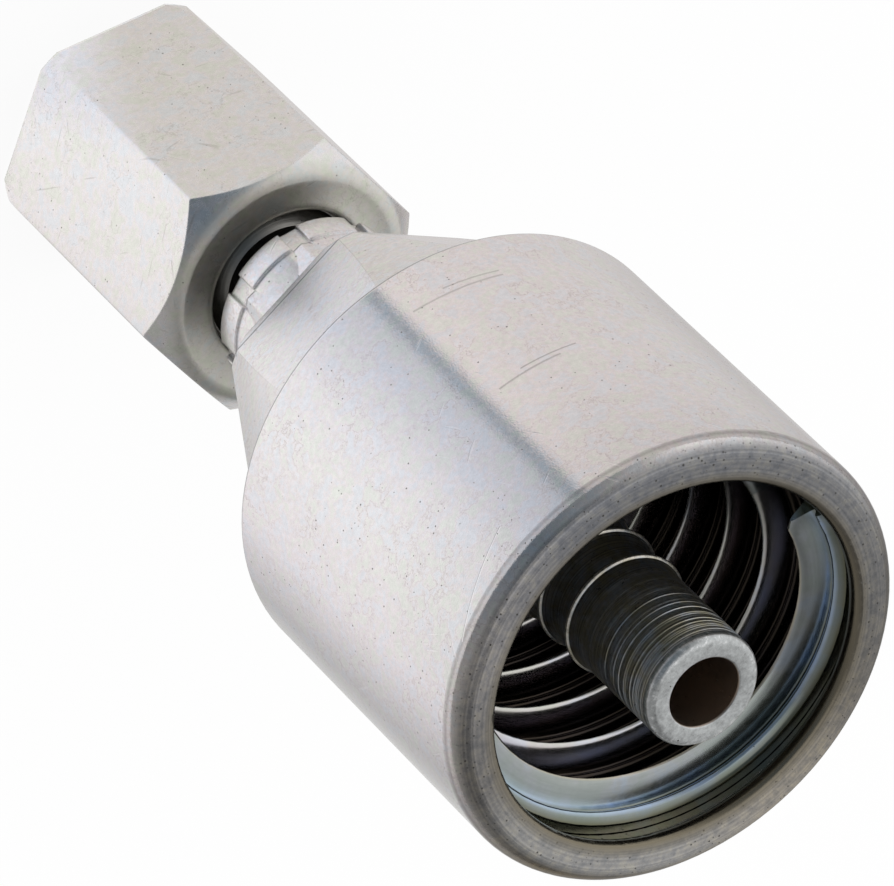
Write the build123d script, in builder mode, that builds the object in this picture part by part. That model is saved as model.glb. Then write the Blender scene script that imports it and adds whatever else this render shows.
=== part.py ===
from build123d import *
import math
import os

# Hydraulic hose coupling: swivel nut, stem, ferrule and the coil insert that grips the hose.
# The coupling stands on the front face of its nut with the hose end up, so Z runs along its axis.
# Lengths are in millimetres, angles in degrees.

# Swivel nut, 9/16 in across flats, with a 7/16-20 thread
nut_across_flats = 14.29
nut_length = 17.8
nut_thread_major_radius = 5.56
nut_thread_minor_radius = 4.95
nut_thread_depth = 8.0
nut_relief_radius = 5.65
nut_rear_wall = 4.0
nut_running_clearance = 0.08
nut_front_taper_length = 2.9
nut_front_taper_depth = 0.4
nut_rear_land_radius = 6.85
nut_rear_dish_outer = 6.5
nut_rear_dish_inner = 4.95
nut_rear_dish_depth = 0.3
nut_rear_mouth_radius = 4.6
nut_rear_mouth_depth = 1.0

# Stem, one turned piece from the cone seat inside the nut to the tail inside the hose
bore_radius = 2.0
head_radius = 4.85
head_length = 5.2
head_shoulder_gap = 0.1
seat_half_angle = 37.0
seat_mouth_radius = 4.2
neck_land_radius = 4.2
neck_land_length = 2.7
neck_relief_radius = 3.4
neck_relief_length = 6.6
collar_seat_radius = 4.0
collar_seat_overrun = 0.5
tail_radius = 3.25
tail_root_radius = 3.05
tail_overhang = 2.6
tip_chamfer = 0.4
barb_radius = 3.5
barb_pitch = 2.7
barb_count = 7
barb_rise = 0.12
barb_ramp = 0.55
last_barb_depth = 5.35
groove_count = 9
groove_pitch = 0.38
groove_depth = 0.1
groove_start_depth = 0.85

# Ferrule: staked collar, six-sided tapered shoulder and shell with a rolled-in mouth
collar_gap = 1.85
collar_length = 6.25
collar_apothem = 4.9
collar_fit_clearance = 0.03
lug_radius = 5.23
lug_length = 1.75
lug_count = 8
lug_angle = 32.0
lug_phase = -93.0
lug_gap_depth = 0.32
lug_chamfer = 0.15
shoulder_length = 10.05
shoulder_apothem = 7.45
shoulder_corner_radius = 8.65
shoulder_flat_step = 1.16
shoulder_corner_step = 0.63
shoulder_front_chamfer = 0.6
shell_radius = 13.0
shell_wall = 1.7
shell_length = 22.15
shell_back_round = 0.35
mouth_lip_width = 2.5
mouth_lip_thickness = 1.0
mouth_outer_round = 1.15
mouth_inner_round = 0.45
cavity_floor_wall = 1.0
cavity_cone_depth = 6.0
cavity_cone_start_radius = 6.2

# Coil insert: a profiled strip wound to the shell's bore, with its ribs towards the hose
coil_lead = 3.6
coil_foot_gap = 1.03
coil_stations_per_turn = 24
coil_clearance = 0.05
coil_end_gap = 0.1
coil_end_angle = 167.5
strip_width = 3.0
strip_thickness = 0.4
low_rib_place = 0.55
low_rib_height = 0.95
low_rib_half_width = 0.3
high_rib_place = 1.6
high_rib_height = 2.3
high_rib_half_width = 0.55
rib_crest_half_width = 0.2
rib_crest_rise = 0.22

# Places along the axis
collar_front = nut_length + collar_gap
shoulder_front = collar_front + collar_length
shell_back = shoulder_front + shoulder_length
shell_front = shell_back + shell_length
tip_height = shell_front + tail_overhang
nut_shoulder = nut_length - nut_rear_wall
head_back = nut_shoulder - head_shoulder_gap
head_front = head_back - head_length
land_back = head_back + neck_land_length
relief_back = land_back + neck_relief_length
cavity_floor = shell_back + cavity_floor_wall
cavity_base = cavity_floor - cavity_cone_depth
collar_seat_end = cavity_base + collar_seat_overrun
lip_back = shell_front - mouth_lip_thickness

# Radii that follow from others
nut_corner_radius = nut_across_flats / math.sqrt(3)
nut_bore_radius = neck_land_radius + nut_running_clearance
shell_bore_radius = shell_radius - shell_wall
mouth_radius = shell_radius - mouth_lip_width
coil_radius = shell_bore_radius - coil_clearance


# The nut's ends are turned: a long light taper in front, 45 degrees and a shallow dish behind.
nut_rear_chamfer = nut_corner_radius - nut_rear_land_radius
nut_entry = nut_thread_major_radius - nut_thread_minor_radius
with BuildPart() as swivel_nut:
    with BuildSketch():
        RegularPolygon(nut_corner_radius, 6, rotation=30)
    extrude(amount=nut_length)
    with BuildSketch(Plane.XZ):
        with BuildLine():
            Polyline(
                (nut_rear_dish_inner, nut_length),
                (0, nut_length),
                (0, 0),
                (nut_corner_radius - nut_front_taper_depth, 0),
                (nut_corner_radius, nut_front_taper_length),
                (nut_corner_radius, nut_length - nut_rear_chamfer),
                (nut_rear_land_radius, nut_length),
                (nut_rear_dish_outer, nut_length),
            )
            dish_middle = (nut_rear_dish_outer + nut_rear_dish_inner) / 2
            ThreePointArc(
                (nut_rear_dish_outer, nut_length),
                (dish_middle, nut_length - nut_rear_dish_depth),
                (nut_rear_dish_inner, nut_length),
            )
        make_face()
    revolve(axis=Axis.Z, mode=Mode.INTERSECT)
    with BuildSketch(Plane.XZ):
        Polygon(
            (0, 0),
            (nut_thread_major_radius, 0),
            (nut_thread_minor_radius, nut_entry),
            (nut_thread_minor_radius, nut_thread_depth),
            (nut_relief_radius, nut_thread_depth + nut_relief_radius - nut_thread_minor_radius),
            (nut_relief_radius, nut_shoulder),
            (nut_bore_radius, nut_shoulder),
            (nut_bore_radius, nut_length - nut_rear_mouth_depth),
            (nut_rear_mouth_radius, nut_length - nut_rear_mouth_depth),
            (nut_rear_mouth_radius, nut_length),
            (0, nut_length),
        )
    revolve(axis=Axis.Z, mode=Mode.SUBTRACT)

# The stem's outline climbs from the cone seat to the tip and closes down the bore.
seat_depth = (seat_mouth_radius - bore_radius) / math.tan(math.radians(seat_half_angle))
head_edge = head_radius - seat_mouth_radius
neck_step = neck_land_radius - neck_relief_radius
collar_step = collar_seat_radius - neck_relief_radius
stem_outline = [
    (bore_radius, head_front + seat_depth),
    (seat_mouth_radius, head_front),
    (head_radius - head_edge / 2, head_front),
    (head_radius, head_front + head_edge / 2),
    (head_radius, head_back),
    (neck_land_radius, head_back),
    (neck_land_radius, land_back),
    (neck_relief_radius, land_back + neck_step),
    (neck_relief_radius, relief_back),
    (collar_seat_radius, relief_back + collar_step),
    (collar_seat_radius, collar_seat_end),
    (tail_root_radius, collar_seat_end),
]
last_barb = shell_front - last_barb_depth
for barb in reversed(range(barb_count)):
    crest = last_barb - barb * barb_pitch
    ramp_foot = tail_root_radius if barb else tail_radius
    stem_outline += [
        (tail_root_radius, crest - barb_rise),
        (barb_radius, crest),
        (ramp_foot, crest + barb_ramp),
    ]
first_groove = tip_height - groove_start_depth - groove_count * groove_pitch
for groove in range(groove_count):
    start = first_groove + groove * groove_pitch
    stem_outline += [
        (tail_radius, start),
        (tail_radius - groove_depth, start + groove_pitch / 2),
    ]
stem_outline += [
    (tail_radius, first_groove + groove_count * groove_pitch),
    (tail_radius, tip_height - tip_chamfer),
    (tail_radius - tip_chamfer, tip_height),
    (bore_radius, tip_height),
]
with BuildPart() as stem:
    with BuildSketch(Plane.XZ):
        Polygon(*stem_outline)
    revolve(axis=Axis.Z)

# The ferrule's shoulder is a cone with six flats pressed into it. Both run out a step inside the shell.
flat_growth = shell_radius - shoulder_flat_step - shoulder_apothem
flat_slope = math.degrees(math.atan(flat_growth / shoulder_length))
lug_gap_angle = 360 / lug_count - lug_angle
lug_gap_width = 2 * lug_radius * math.sin(math.radians(lug_gap_angle / 2))
collar_bore_radius = neck_relief_radius + collar_fit_clearance
seat_bore_radius = collar_seat_radius + collar_fit_clearance
radius_tolerance = 0.001
with BuildPart() as ferrule:
    with BuildSketch(Plane.XZ):
        Polygon(
            (0, shoulder_front),
            (shoulder_corner_radius - shoulder_front_chamfer, shoulder_front),
            (shoulder_corner_radius, shoulder_front + shoulder_front_chamfer),
            (shell_radius - shoulder_corner_step, shell_back),
            (0, shell_back),
        )
    revolve(axis=Axis.Z)
    with BuildSketch(Plane.XY.offset(shoulder_front)):
        RegularPolygon(shoulder_apothem, 6, major_radius=False)
    extrude(amount=shoulder_length, taper=-flat_slope, mode=Mode.INTERSECT)
    with BuildSketch(Plane.XY.offset(collar_front + lug_length)):
        RegularPolygon(collar_apothem, lug_count, major_radius=False, rotation=lug_phase + 180 / lug_count)
    extrude(amount=collar_length - lug_length)
    with BuildSketch(Plane.XY.offset(collar_front)):
        Circle(lug_radius)
        with PolarLocations(lug_radius - lug_gap_depth, lug_count, start_angle=lug_phase + 180 / lug_count):
            Rectangle(lug_radius, lug_gap_width, align=(Align.MIN, Align.CENTER), mode=Mode.SUBTRACT)
    lugs = extrude(amount=lug_length)
    lug_front_edges = lugs.edges().group_by(Axis.Z)[0].filter_by(GeomType.CIRCLE)
    chamfer(lug_front_edges, lug_chamfer)
    with BuildSketch(Plane.XY.offset(shell_back)):
        Circle(shell_radius)
    extrude(amount=shell_length)
    circles = ferrule.edges().filter_by(GeomType.CIRCLE)
    shell_rims = circles.filter_by(lambda edge: abs(edge.radius - shell_radius) < radius_tolerance)
    fillet(shell_rims.group_by(Axis.Z)[0], shell_back_round)
    fillet(shell_rims.group_by(Axis.Z)[-1], mouth_outer_round)
    with BuildSketch(Plane.XZ):
        Polygon(
            (0, collar_front),
            (collar_bore_radius, collar_front),
            (collar_bore_radius, relief_back),
            (seat_bore_radius, relief_back + collar_step),
            (seat_bore_radius, cavity_base),
            (cavity_cone_start_radius, cavity_base),
            (shell_bore_radius, cavity_floor),
            (shell_bore_radius, lip_back),
            (mouth_radius, lip_back),
            (mouth_radius, shell_front),
            (0, shell_front),
        )
    revolve(axis=Axis.Z, mode=Mode.SUBTRACT)
    circles = ferrule.edges().filter_by(GeomType.CIRCLE)
    lip_rims = circles.filter_by(lambda edge: abs(edge.radius - mouth_radius) < radius_tolerance)
    fillet(lip_rims, mouth_inner_round)

# The strip is lofted straight from station to station round the helix, which keeps its facets few.
# Its section, as (radius, depth below its upper edge), has a low rib near that edge and a high one behind.
coil_top = lip_back - coil_end_gap
coil_bottom = cavity_floor + coil_foot_gap
coil_turns = (coil_top - strip_width - coil_bottom) / coil_lead
strip_face = coil_radius - strip_thickness
low_crest = coil_radius - low_rib_height
high_crest = coil_radius - high_rib_height
strip_section = [
    (coil_radius, 0),
    (strip_face, 0),
    (strip_face, low_rib_half_width - low_rib_place),
    (low_crest, rib_crest_half_width - low_rib_place),
    (low_crest, -rib_crest_half_width - low_rib_place),
    (strip_face, high_rib_half_width - high_rib_place),
    (high_crest + rib_crest_rise, rib_crest_half_width - high_rib_place),
    (high_crest, -high_rib_place),
    (high_crest + rib_crest_rise, -rib_crest_half_width - high_rib_place),
    (strip_face, -high_rib_half_width - high_rib_place),
    (strip_face, -strip_width),
    (coil_radius, -strip_width),
]
coil_steps = round(coil_turns * coil_stations_per_turn)
with BuildPart() as coil_insert:
    for step in range(coil_steps + 1):
        turn = coil_turns * step / coil_steps
        angle = math.radians(coil_end_angle) - 2 * math.pi * turn
        outward = (math.cos(angle), math.sin(angle), 0)
        sideways = (math.sin(angle), -math.cos(angle), 0)
        station = (0, 0, coil_top - coil_lead * turn)
        with BuildSketch(Plane(origin=station, x_dir=outward, z_dir=sideways)):
            Polygon(*strip_section)
    loft(ruled=True)

swivel_nut.part.label = "swivel_nut"
stem.part.label = "stem"
ferrule.part.label = "ferrule"
coil_insert.part.label = "coil_insert"

os.makedirs("parts", exist_ok=True)
export_step(swivel_nut.part, "parts/swivel_nut.step")
export_step(stem.part, "parts/stem.step")
export_step(ferrule.part, "parts/ferrule.step")
export_step(coil_insert.part, "parts/coil_insert.step")
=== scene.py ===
import bpy
import math
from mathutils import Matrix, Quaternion, Vector


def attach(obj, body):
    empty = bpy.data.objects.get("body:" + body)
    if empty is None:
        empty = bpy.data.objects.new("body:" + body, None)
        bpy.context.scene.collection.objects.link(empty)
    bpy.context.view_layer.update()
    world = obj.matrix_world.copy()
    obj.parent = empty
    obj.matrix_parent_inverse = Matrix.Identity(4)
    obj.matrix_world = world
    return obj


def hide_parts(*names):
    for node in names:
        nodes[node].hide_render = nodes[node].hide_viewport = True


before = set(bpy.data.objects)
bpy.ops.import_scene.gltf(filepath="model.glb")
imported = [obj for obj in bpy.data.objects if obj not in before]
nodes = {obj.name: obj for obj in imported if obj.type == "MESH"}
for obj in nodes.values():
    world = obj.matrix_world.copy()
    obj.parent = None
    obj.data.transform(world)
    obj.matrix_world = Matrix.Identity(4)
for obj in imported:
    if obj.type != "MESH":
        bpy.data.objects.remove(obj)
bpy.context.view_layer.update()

# Hydraulic hose coupling. It stands on the front face of its nut with the hose end up.
# Settings are in millimetres and degrees unless a note says otherwise; mm turns them to metres.
mm = 0.001
print("frame loaded:", ", ".join(sorted(nodes)))


# Small helpers

def linearColour(hexCode):
    channels = [int(hexCode[i:i + 2], 16) / 255 for i in (1, 3, 5)]
    linear = [c / 12.92 if c <= 0.04045 else ((c + 0.055) / 1.055) ** 2.4 for c in channels]
    return (*linear, 1.0)


def addNode(tree, kind, settings=None, inputs=None, stops=()):
    # An input is a number, a hex colour, a socket, or a node, whose first output in use is then linked.
    node = tree.nodes.new("ShaderNode" + kind)
    for name, value in (settings or {}).items():
        setattr(node, name, value)
    for name, value in (inputs or {}).items():
        if isinstance(value, bpy.types.Node):
            value = next(output for output in value.outputs if output.enabled)
        if isinstance(value, bpy.types.NodeSocket):
            tree.links.new(value, node.inputs[name])
        else:
            node.inputs[name].default_value = linearColour(value) if isinstance(value, str) else value
    for i, (position, shade) in enumerate(stops):   # a colour ramp's stops, as hex colours or grey levels
        element = node.color_ramp.elements[i] if i < 2 else node.color_ramp.elements.new(position)
        element.position = position
        element.color = linearColour(shade) if isinstance(shade, str) else (shade, shade, shade, 1.0)
    return node


def newMaterial(name):
    material = bpy.data.materials.new(name)
    material.use_nodes = True
    material.node_tree.nodes.clear()
    return material, material.node_tree


def finishWith(material, *pieces):
    for piece in pieces:
        piece.data.materials.clear()
        piece.data.materials.append(material)


def fractionOfTurn(azimuth):
    return azimuth / 360 + 0.5   # where an azimuth lies on a radial gradient


def byAzimuth(shades):
    return [(fractionOfTurn(azimuth), shade) for azimuth, shade in shades]


# Surface features that the finishes share. Most give a mask from 0 to 1.
# A Mix node takes its share in 0. What lies below and what comes over it are 6 and 7, or 2 and 3 for numbers.
overColour = {"data_type": "RGBA"}
timesColour = {"data_type": "RGBA", "blend_type": "MULTIPLY"}
times = {"operation": "MULTIPLY"}
timesPlus = {"operation": "MULTIPLY_ADD"}
larger = {"operation": "MAXIMUM"}
above = {"operation": "GREATER_THAN"}
below = {"operation": "LESS_THAN"}
within = {"operation": "COMPARE"}   # 1 where input 0 lies no further than 2 from 1
noiseSpan = (0.3, 0.7)   # a noise seldom leaves this span


def span(side, limits, unit=1.0):
    # The inputs that hold a range's two limits, on its From or its To side
    return {side + " Min": limits[0] * unit, side + " Max": limits[1] * unit}


def layOver(tree, colour, layers, how=overColour):
    # A layer is a mask and the colour that covers or darkens what lies below where the mask is 1.
    for mask, shade in layers:
        colour = addNode(tree, "Mix", how, {0: mask, 6: colour, 7: shade})
    return colour


def nearTo(tree, value, middle, width):
    # 1 where the value meets the middle one, and 0 where it is a width away or further.
    away = addNode(tree, "Math", {"operation": "SUBTRACT"}, {0: value, 1: middle})
    away = addNode(tree, "Math", {"operation": "ABSOLUTE"}, {0: away})
    return addNode(tree, "MapRange", inputs={
        "Value": away, **span("From", (0.0, width)), **span("To", (1.0, 0.0))})


def measurePlace(tree):
    # Of each point: its place, its reach from the axis, its height and its share of a turn.
    place = addNode(tree, "TexCoord").outputs["Object"]
    split = addNode(tree, "SeparateXYZ", inputs={"Vector": place})
    flat = addNode(tree, "CombineXYZ", inputs={"X": split.outputs["X"], "Y": split.outputs["Y"]})
    reach = addNode(tree, "VectorMath", {"operation": "LENGTH"}, {0: flat})
    around = addNode(tree, "TexGradient", {"gradient_type": "RADIAL"}, {"Vector": place})
    return place, reach, split.outputs["Z"], around.outputs["Fac"]


# The smallest speck and the softness of a speck's edge are shares of the radius.
speckShape = {"drift": (0.4, 0.68), "smallest": 0.35, "softness": 0.3}


def drawSpecks(tree, place, look, shape=speckShape):
    # A cell of the pattern holds a speck where its own random value is high, and specks lie in drifts.
    drift = addNode(tree, "TexNoise", inputs={
        "Vector": place, "Scale": 1 / (look["driftSize"] * mm), "Detail": 1.0})
    bar = addNode(tree, "MapRange", inputs={
        "Value": drift, **span("From", shape["drift"]), **span("To", look["speckBar"])})
    cells = addNode(tree, "TexVoronoi", inputs={"Vector": place, "Scale": 1 / (look["speckSpacing"] * mm)})
    chance = addNode(tree, "SeparateColor", inputs={"Color": cells.outputs["Color"]})
    share = look["speckRadius"] / look["speckSpacing"]
    radius = addNode(tree, "MapRange", inputs={
        "Value": chance, "From Min": bar, **span("To", (share * shape["smallest"], share))})
    chosen = addNode(tree, "Math", above, {0: chance, 1: bar})
    radius = addNode(tree, "Math", times, {0: radius, 1: chosen})
    inside = addNode(tree, "Math", {"operation": "SUBTRACT"}, {0: radius, 1: cells.outputs["Distance"]})
    return addNode(tree, "MapRange", inputs={"Value": inside, "From Max": share * shape["softness"]})


def drawScratches(tree, place, look, softness=0.06):
    # Noise drawn out into thin sheets, which a surface cuts as short straight strokes.
    total = 0.0
    for turn in look["scratchTurns"]:
        strokes = addNode(tree, "Mapping", {"vector_type": "TEXTURE"}, {
            "Vector": place, "Rotation": tuple(math.radians(angle) for angle in turn),
            "Scale": (look["scratchWidth"] * mm, look["scratchLength"] * mm, look["scratchLength"] * mm)})
        noise = addNode(tree, "TexNoise", inputs={"Vector": strokes, "Scale": 1.0, "Detail": 0.0})
        stroke = addNode(tree, "MapRange", inputs={
            "Value": noise, "From Min": look["scratchBar"], "From Max": look["scratchBar"] + softness})
        total = addNode(tree, "Math", larger, {0: stroke, 1: total})
    return total


def drawVeins(tree, place, look, drift=(0.42, 0.66)):
    # Thin wandering lines, where a noise passes through its middle value. They fade in and out in drifts.
    noise = addNode(tree, "TexNoise", inputs={
        "Vector": place, "Scale": 1 / (look["veinSize"] * mm), "Detail": 3.0, "Roughness": 0.6})
    line = nearTo(tree, noise, 0.5, look["veinWidth"])
    drifts = addNode(tree, "TexNoise", inputs={
        "Vector": place, "Scale": 1 / (look["veinDrift"] * mm), "Detail": 1.0})
    drifts = addNode(tree, "MapRange", inputs={"Value": drifts, **span("From", drift)})
    return addNode(tree, "Math", times, {0: line, 1: drifts})


def drawScores(tree, height, around, scores, trim=0.005):
    # Scored arcs round the shell, each from one height and azimuth to another.
    total = 0.0
    for fromHeight, toHeight, fromAzimuth, toAzimuth, width in scores:
        ends = (fractionOfTurn(fromAzimuth), fractionOfTurn(toAzimuth))
        along = addNode(tree, "MapRange", inputs={"Value": around, **span("From", ends)})
        line = addNode(tree, "MapRange", inputs={"Value": along, **span("To", (fromHeight, toHeight), mm)})
        between = addNode(tree, "Math", within, {0: along, 1: 0.5, 2: 0.5 - trim})
        stroke = addNode(tree, "Math", times, {0: nearTo(tree, height, line, width * mm), 1: between})
        total = addNode(tree, "Math", larger, {0: stroke, 1: total})
    return total


def drawEdges(tree, radius, startAt=0.996, fullAt=0.94):
    # The softened normal, and a mask that is bright where it departs from the true one.
    soft = addNode(tree, "Bevel", {"samples": 6}, {"Radius": radius})
    true = addNode(tree, "NewGeometry").outputs["Normal"]
    alike = addNode(tree, "VectorMath", {"operation": "DOT_PRODUCT"}, {0: soft, 1: true})
    mask = addNode(tree, "MapRange", inputs={"Value": alike, "From Min": startAt, "From Max": fullAt})
    return soft, mask


def drawRings(tree, reach, height, width):
    # Rings and streaks round the axis, which depend on reach and height alone.
    section = addNode(tree, "CombineXYZ", inputs={"X": reach, "Y": height})
    return addNode(tree, "TexNoise", inputs={"Vector": section, "Scale": 1 / (width * mm), "Detail": 2.0})


def drawGrain(tree, place, look, detail=3.0):
    return addNode(tree, "TexNoise", inputs={
        "Vector": place, "Scale": 1 / (look["grainSize"] * mm), "Detail": detail})


def mottledMetal(tree, place, look):
    # Faint clouds of three tints, darkened a little by a finer mottle, which the roughness follows.
    clouds = addNode(tree, "TexNoise", inputs={
        "Vector": place, "Scale": 1 / (look["cloudSize"] * mm), "Detail": 4.0, "Roughness": 0.65})
    tint = addNode(tree, "ValToRGB", inputs={"Fac": clouds}, stops=[
        (0.4, look["cool"]), (0.5, look["warm"]), (0.6, look["green"])])
    mottle = addNode(tree, "TexNoise", inputs={
        "Vector": place, "Scale": 1 / (look["mottleSize"] * mm), "Detail": 5.0, "Roughness": 0.75})
    shade = addNode(tree, "MapRange", inputs={
        "Value": mottle, **span("From", noiseSpan), "To Min": 1 - look["mottle"]})
    colour = layOver(tree, tint, [(1.0, shade)], timesColour)
    roughness = addNode(tree, "MapRange", inputs={
        "Value": mottle, **span("From", noiseSpan), **span("To", look["roughness"])})
    return colour, mottle, roughness


def barrelWear(tree, place, look, colour):
    # Plated pieces rolled about in a barrel: faint veins and short scratches.
    veins = addNode(tree, "Math", times, {0: drawVeins(tree, place, look), 1: look["veinShare"]})
    scratches = drawScratches(tree, place, look)
    share = addNode(tree, "Math", times, {0: scratches, 1: look["scratchShare"]})
    return layOver(tree, colour, [(veins, look["veinColour"]), (share, look["scratchColour"])]), scratches


def metalSurface(tree, colour, roughness, height, depth, normal=None):
    # height is a pattern from 0 to 1 and depth its real depth in millimetres
    bump = addNode(tree, "Bump", inputs={"Height": height, "Distance": depth * mm})
    if normal:
        tree.links.new(normal.outputs["Normal"], bump.inputs["Normal"])
    shader = addNode(tree, "BsdfPrincipled", inputs={
        "Base Color": colour, "Metallic": 1.0, "Roughness": roughness, "Normal": bump})
    addNode(tree, "OutputMaterial", inputs={"Surface": shader})


# Making pieces. A profile is drawn as by hand: one point, pulled from place to place.
samePlace = 0.01 * mm    # profile points nearer than this are one
sameVertex = 0.001 * mm


def setMode(mode):
    bpy.ops.object.mode_set(mode=mode)


def selectAll():
    bpy.ops.mesh.select_all(action="SELECT")


def startClean():
    if bpy.context.object and bpy.context.object.mode != "OBJECT":
        setMode("OBJECT")
    bpy.ops.object.select_all(action="DESELECT")


def makeActive(piece):
    startClean()
    piece.select_set(True)
    bpy.context.view_layer.objects.active = piece


def selectPoints(piece, isWanted):
    # Selects a piece's wanted vertices and nothing else, and leaves it in edit mode.
    for vertex in piece.data.vertices:
        vertex.select = isWanted(vertex)
    for part in (*piece.data.edges, *piece.data.polygons):
        part.select = False
    setMode("EDIT")
    bpy.ops.mesh.select_mode(type="VERT")


def drawProfile(name, points, closed=False):
    # points are (radius, height) in the XZ plane
    startClean()
    bpy.ops.mesh.primitive_plane_add(size=mm)
    piece = bpy.context.object
    piece.name = name
    setMode("EDIT")
    bpy.ops.mesh.select_mode(type="VERT")
    bpy.ops.mesh.merge(type="CENTER")
    corners = [Vector((radius, 0, height)) * mm for radius, height in points]
    bpy.ops.transform.translate(value=corners[0])
    for last, corner in zip(corners, corners[1:]):
        bpy.ops.mesh.extrude_region_move(TRANSFORM_OT_translate={"value": corner - last})
    selectAll()
    if closed:
        bpy.ops.mesh.edge_face_add()
    setMode("OBJECT")
    return piece


def roundCorners(piece, places, width, segments):
    # Rounds the profile's corners that lie at these places.
    spots = [Vector((radius, 0, height)) * mm for radius, height in places]
    selectPoints(piece, lambda vertex: any((vertex.co - spot).length < samePlace for spot in spots))
    bpy.ops.mesh.bevel(offset=width * mm, segments=segments, affect="VERTICES")
    setMode("OBJECT")


def turnProfile(steps, angle):
    # Spins the profile that is open in edit mode about Z. Its own face, if it has one, goes first.
    selectAll()
    bpy.ops.mesh.delete(type="ONLY_FACE")
    selectAll()
    bpy.ops.mesh.spin(steps=steps, angle=math.radians(angle), center=(0, 0, 0), axis=(0, 0, 1))
    selectAll()


def turnOnLathe(name, points, steps, rounds=(), closed=False):
    piece = drawProfile(name, points, closed)
    for places, width, segments in rounds:
        roundCorners(piece, places, width, segments)
    setMode("EDIT")
    turnProfile(steps, 360)
    bpy.ops.mesh.remove_doubles(threshold=sameVertex)
    bpy.ops.mesh.normals_make_consistent(inside=False)
    setMode("OBJECT")
    return piece


def capAndFaceOut():
    # Closes the ends of the mesh that is open in edit mode and turns its faces outward.
    selectAll()
    bpy.ops.mesh.fill_holes(sides=0)
    selectAll()
    bpy.ops.mesh.normals_make_consistent(inside=False)


def windUp(piece, turns, climb, stepsPerTurn):
    # Winds a closed profile round Z into a solid helix with capped ends.
    screw = piece.modifiers.new("wind", "SCREW")
    screw.axis = "Z"
    screw.angle = 2 * math.pi * turns
    screw.screw_offset = climb * mm
    screw.steps = screw.render_steps = round(abs(turns) * stepsPerTurn)
    screw.use_smooth_shade = True
    bpy.context.view_layer.objects.active = piece
    bpy.ops.object.modifier_apply(modifier=screw.name)
    setMode("EDIT")
    capAndFaceOut()
    setMode("OBJECT")


def turnRound(angle):
    # Turns the mesh that is open in edit mode about Z and leaves edit mode.
    selectAll()
    bpy.ops.transform.rotate(value=-math.radians(angle), orient_axis="Z", center_override=(0, 0, 0))
    setMode("OBJECT")


def cutWith(piece, tool, operation):
    boolean = piece.modifiers.new("cut", "BOOLEAN")
    boolean.operation = operation
    boolean.solver = "EXACT"
    boolean.object = tool
    bpy.context.view_layer.objects.active = piece
    bpy.ops.object.modifier_apply(modifier=boolean.name)
    bpy.data.objects.remove(tool)


def shadeByAngle(piece, angle):
    makeActive(piece)
    bpy.ops.object.shade_smooth_by_angle(angle=math.radians(angle))
    piece.select_set(False)


# Swivel nut: hexagon bar with turned ends, drilled and threaded from the front.
nutSize = {
    "acrossFlats": 14.29, "length": 17.8, "edgeRound": 0.09, "steps": 96, "smoothAngle": 28,
    # The front's taper as length and depth, and the rear's flat with the width and segments of its edge
    "frontTaper": (2.9, 0.4), "taperAt": (0, 0.25, 0.5, 0.75, 1.0),
    "rearLand": 6.85, "landRound": (0.44, 4),
    # The rear's dish as outer and inner radius and depth, and its mouth as radius, depth and rounding
    "dish": (6.4, 4.9, 0.06), "dishAt": (0, 0.12, 0.3, 0.5, 0.7, 0.88, 1.0),
    "mouth": (4.6, 1.0, 0.12), "mouthMiddle": 0.3,
    "bore": 4.28, "shoulder": 13.8, "relief": 5.65, "reliefStart": 8.0, "beyond": 1.0,
    "threadMajor": 5.56, "threadMinor": 4.95, "threadPitch": 1.27, "threadAngle": 60, "threadSteps": 48,
    "threadOverlap": 0.25,
}


def makeHexagon(name, corner, size):
    startClean()
    bpy.ops.mesh.primitive_cylinder_add(
        vertices=6, radius=corner * mm, depth=size["length"] * mm, location=(0, 0, size["length"] / 2 * mm))
    bar = bpy.context.object
    bar.name = name
    bpy.ops.object.transform_apply(location=True, rotation=True, scale=True)
    for edge in bar.data.edges:
        ends = [bar.data.vertices[i].co.z for i in edge.vertices]
        edge.select = abs(ends[0] - ends[1]) > mm
    for face in bar.data.polygons:
        face.select = False
    setMode("EDIT")
    bpy.ops.mesh.select_mode(type="EDGE")
    bpy.ops.mesh.bevel(offset=size["edgeRound"] * mm, segments=3)
    setMode("OBJECT")
    return bar


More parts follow.
